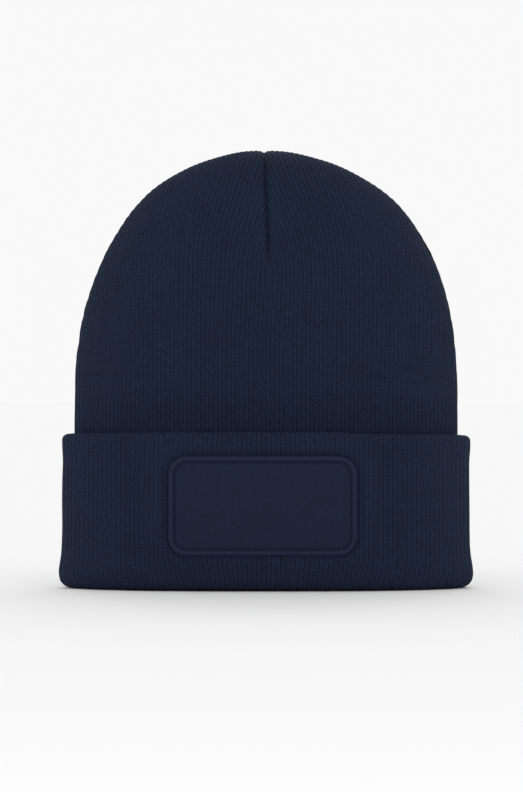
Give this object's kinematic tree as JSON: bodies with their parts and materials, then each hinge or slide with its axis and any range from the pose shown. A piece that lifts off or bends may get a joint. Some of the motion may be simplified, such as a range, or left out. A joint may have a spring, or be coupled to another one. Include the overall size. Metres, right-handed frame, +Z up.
{
  "type": "knit beanie",
  "caption": "Cuffed rib-knit beanie, double layered, with a four-dart crown, a turned-up cuff and a blank rectangular sewn patch on the front.",
  "frame": {"origin": "on the ground, at the middle of the hat's footprint with its patch", "axes": "+Z up through the crown, -Y out of the front through the patch, X along the width from side fold to side fold"},
  "size_m": [0.217, 0.0834, 0.232],
  "materials": {
    "rib_knit": "matte",
    "patch_fabric": "matte",
    "thread": "matte",
    "label_tape": "matte"
  },
  "bodies": {
    "cuff": {"cuff_outer_layer": "rib_knit", "cuff_inner_layer": "rib_knit", "bottom_fold": "rib_knit", "patch_backing": "patch_fabric", "patch_panel": "patch_fabric", "patch_border": "patch_fabric", "patch_stitching": "thread"},
    "crown": {"outer_shell": "rib_knit", "inner_lining": "rib_knit", "shell_seam_front": "thread", "shell_seam_back": "thread", "shell_seam_left": "thread", "shell_seam_right": "thread", "lining_seam_front": "thread", "lining_seam_back": "thread", "lining_seam_left": "thread", "lining_seam_right": "thread", "crown_tack": "thread", "label_stitching": "thread"},
    "label": {"care_label": "label_tape"}
  },
  "joints": [
    {"name": "cuff_unroll", "type": "slide", "parent": "cuff", "child": "crown", "axis": [0, 0, 1], "range_m": [0, 0.07]},
    {"name": "label_flip", "type": "hinge", "parent": "crown", "child": "label", "pos_m": [0, 0.0284, 0.076], "axis": [-1, 0, 0], "range_deg": [0, 110]}
  ]
}
